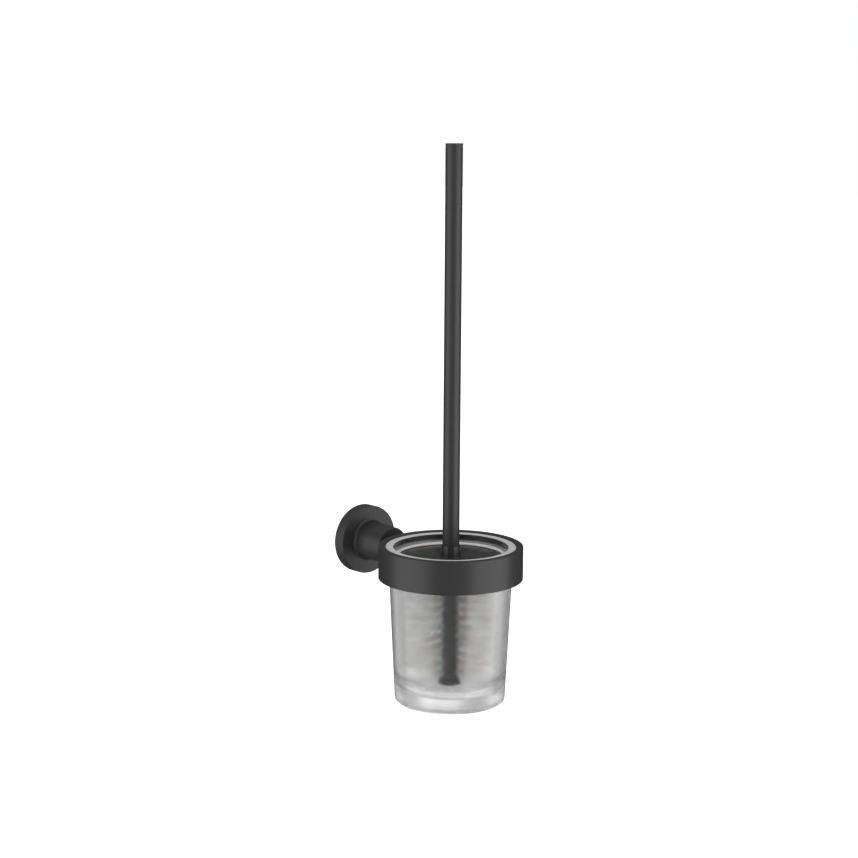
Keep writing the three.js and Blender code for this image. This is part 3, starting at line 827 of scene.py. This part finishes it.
insert_low, insert_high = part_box("handle_insert")
insert_foot = insert_low.z - ring_top
insert_top = insert_high.z - ring_top
insert = turned(
    "handle_thread_insert",
    rounded([(stud_hole, insert_foot, 0.3 * mm), (insert_high.x, insert_foot, 0.3 * mm),
             (insert_high.x, insert_top, 0.5 * mm), (stud_hole, insert_top, 0.3 * mm)]),
    ring_place, sides=64,
)
fit(insert, "brush", "steel", "handle_insert", material=plain_steel)

washer_low, washer_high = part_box("lid_washer")
washer_foot = washer_low.z - ring_top
washer_top = washer_high.z - ring_top
washer = turned(
    "lid_stop_washer",
    rounded([(stud_hole, washer_foot, 0.1 * mm), (washer_high.x, washer_foot, 0.3 * mm),
             (washer_high.x, washer_top, 0.4 * mm), (stud_hole, washer_top, 0.1 * mm)]),
    ring_place, sides=96,
)
fit(washer, "brush", "steel", "lid_washer", material=plain_steel)


# ------------------------------------------------------------------ lid
# A satin black disc that rises into a slim cone round the handle. A soft pale ring on its
# edge closes the glass, and a nylon bush under it slides and turns on the handle.

satin_black = material("satin black coat", (0.011, 0.011, 0.0115), roughness=0.24,
                       grain_size=0.5 * mm, grain_height=0.006 * mm, mottle=0.15,
                       worn_and_highlit=(0.045, 0.045, 0.046))
soft_seal = material("soft pale seal", (0.55, 0.55, 0.54), roughness=0.3, grain_size=1.0 * mm,
                     grain_height=0.01 * mm, mottle=0.06, Subsurface_Weight=0.5,
                     Subsurface_Scale=3 * mm)
white_nylon = material("white nylon bearing", (0.7, 0.7, 0.68), roughness=0.42,
                       grain_size=0.8 * mm, grain_height=0.01 * mm, mottle=0.05)

lid_low, lid_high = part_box("lid_shell")
seal_low, seal_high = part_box("lid_seal")
bush_low, bush_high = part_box("lid_bush")
lid_under = lid_low.z - ring_top
lid_face = lid_under + 1.4 * mm
cone_top = lid_high.z - ring_top
cone_top_radius = tube_radius + 0.55 * mm
cone_foot_radius = 8.9 * mm
lid_bore = tube_radius + 0.3 * mm
lid = turned(
    "lid_disc",
    rounded([(lid_bore, lid_under, 0.1 * mm), (lid_high.x, lid_under, 0.2 * mm),
             (lid_high.x, lid_face, 0.2 * mm), (cone_foot_radius, lid_face, 1.4 * mm),
             (cone_top_radius, cone_top, 0.1 * mm), (lid_bore, cone_top, 0.06 * mm)], steps=8),
    ring_place, sides=192,
)
fit(lid, "lid", "lid_black", "lid_shell", material=satin_black)

seal_radius = seal_high.x
seal_width = 2.5 * mm
seal_bore = seal_radius - seal_width
seal_foot = seal_low.z - ring_top
seal_crest = seal_high.z - ring_top
seal_groove_top = lid_face + 0.3 * mm
seal_groove_foot = lid_under - 0.3 * mm
seal_groove_radius = lid_high.x + 0.3 * mm
seal = turned(
    "lid_soft_seal",
    rounded([(seal_bore, seal_foot, 0.5 * mm), (seal_radius, seal_foot, 0.6 * mm),
             (seal_radius, seal_crest, 0.3 * mm), (seal_radius - 1 * mm, seal_crest, 0.3 * mm),
             (seal_bore, seal_groove_top + 0.6 * mm, 0.2 * mm), (seal_bore, seal_groove_top, 0.1 * mm),
             (seal_groove_radius, seal_groove_top, 0), (seal_groove_radius, seal_groove_foot, 0),
             (seal_bore, seal_groove_foot, 0.1 * mm)]),
    ring_place, sides=192,
)
fit(seal, "lid", "seal_plastic", "lid_seal", material=soft_seal)

bush_foot = bush_low.z - ring_top
bush_top = bush_high.z - ring_top
bush_radius = 10 * mm
flange_radius = bush_high.x
flange_foot = bush_top - 2.2 * mm
bush = turned(
    "lid_slide_bush",
    rounded([(lid_bore, bush_foot, 0.3 * mm), (bush_radius, bush_foot, 0.4 * mm),
             (bush_radius, flange_foot, 0.6 * mm), (flange_radius, flange_foot, 0.4 * mm),
             (flange_radius, bush_top, 0.4 * mm), (lid_bore, bush_top, 0.3 * mm)]),
    ring_place, sides=96,
)
fit(bush, "lid_slider", "white_nylon", "lid_bush", material=white_nylon)


# ------------------------------------------------------------------ studio
# A pale floor below the holder, a bright room, and three soft lamps. The two tall ones draw a
# broad highlight down each side of the black band and the handle.

scene = bpy.context.scene
scene.view_settings.view_transform = "Standard"

floor_reach = 30
floor_level = cad_low.z - 0.9
floor_corners = [(x * floor_reach, y * floor_reach, floor_level)
                 for x, y in ((-1, -1), (1, -1), (1, 1), (-1, 1))]
floor_mesh = bpy.data.meshes.new("studio_floor")
floor_mesh.from_pydata(floor_corners, [], [(0, 1, 2, 3)])
floor = bpy.data.objects.new("studio_floor", floor_mesh)
scene.collection.objects.link(floor)
pale = bpy.data.materials.new("pale floor")
pale.use_nodes = True
pale_tree = pale.node_tree
pale_shader = pale_tree.nodes["Principled BSDF"]
pale_shader.inputs["Base Color"].default_value = (0.9, 0.9, 0.9, 1)
pale_shader.inputs["Roughness"].default_value = 0.9
pale_shader.inputs["Emission Color"].default_value = (1, 1, 1, 1)
pale_shader.inputs["Emission Strength"].default_value = 0.55
floor_mesh.materials.append(pale)
floor.visible_glossy = False
floor.visible_transmission = False

world = bpy.data.worlds.new("studio room")
scene.world = world
world.use_nodes = True
room = world.node_tree
room_turn = math.radians(48.3 - 8)
bright_panels = 6.0  # round the room, as seen through the glass
direction = add(room, "SeparateXYZ", {"Vector": add(room, "TexCoord").outputs["Generated"]})
gloss_ramp = add(room, "MapRange", {"Value": direction.outputs["Z"], "From Min": 0.1, "From Max": 0.8,
                                    "To Min": 0.03, "To Max": 0.35})
around_room = add(room, "Math", {0: direction.outputs["Y"], 1: direction.outputs["X"]},
                  operation="ARCTAN2")
turned_room = add(room, "Math", {0: around_room.outputs[0], 1: room_turn}, operation="SUBTRACT")
panels = add(room, "Math", {0: turned_room.outputs[0], 1: bright_panels}, operation="MULTIPLY")
wave = add(room, "Math", {0: panels.outputs[0]}, operation="COSINE")
tent = add(room, "MapRange", {"Value": wave.outputs[0], "From Min": -0.7, "From Max": 0.3,
                              "To Min": 0.4, "To Max": 1.0})
path = add(room, "LightPath")
white_room = add(room, "Background", {"Color": (1, 1, 1, 1), "Strength": 1.0})
gloss_room = add(room, "Background", {"Color": (1, 1, 1, 1), "Strength": gloss_ramp.outputs[0]})
glass_room = add(room, "Background", {"Color": (1, 1, 1, 1), "Strength": tent.outputs[0]})
outside_glass = add(room, "MixShader", {0: path.outputs["Is Glossy Ray"], 1: white_room.outputs[0],
                                        2: gloss_room.outputs[0]})
whole_room = add(room, "MixShader", {0: path.outputs["Is Transmission Ray"], 1: outside_glass.outputs[0],
                                     2: glass_room.outputs[0]})
room.links.new(whole_room.outputs[0], room.nodes["World Output"].inputs["Surface"])

camera_azimuth = math.radians(-41.7)
camera_height = 330.5 * mm
camera_distance = 1.379
camera_roll = math.radians(0.37)
aim = Vector((-13.3 * mm, -97.3 * mm, 103.7 * mm))


def soft_lamp(name, turn_from_camera, height, distance, width, tall, watts):
    """A softbox that faces the ring, placed by its turn in degrees from the camera's side."""
    angle = camera_azimuth + math.radians(turn_from_camera)
    middle = Vector((0, ring_axis.y, ring_top))
    spot = middle + distance * Vector((math.sin(angle), -math.cos(angle), 0)) + Vector((0, 0, height))
    lamp = bpy.data.lights.new(name, "AREA")
    lamp.shape = "RECTANGLE"
    lamp.size = width
    lamp.size_y = tall
    lamp.energy = watts
    made = bpy.data.objects.new(name, lamp)
    made.location = spot
    made.rotation_euler = (middle - spot).to_track_quat("-Z", "Y").to_euler()
    made.visible_camera = False
    scene.collection.objects.link(made)


soft_lamp("left softbox", turn_from_camera=-66, height=-0.1, distance=1.4, width=1.75, tall=1.8,
          watts=13)
soft_lamp("right softbox", turn_from_camera=65, height=-0.1, distance=1.4, width=1.8, tall=1.8,
          watts=16.6)
soft_lamp("front softbox", turn_from_camera=0, height=0.3, distance=2.2, width=1.6, tall=1.2,
          watts=2)

lens = bpy.data.cameras.new("camera")
lens.lens = 75.8
lens.sensor_width = 36
camera = bpy.data.objects.new("camera", lens)
rise = camera_height - aim.z
level = math.sqrt(camera_distance ** 2 - rise ** 2)
camera.location = aim + Vector((math.sin(camera_azimuth) * level,
                                -math.cos(camera_azimuth) * level, rise))
camera.rotation_euler = (aim - camera.location).to_track_quat("-Z", "Y").to_euler()
camera.rotation_euler.rotate_axis("Z", camera_roll)
scene.collection.objects.link(camera)
scene.camera = camera
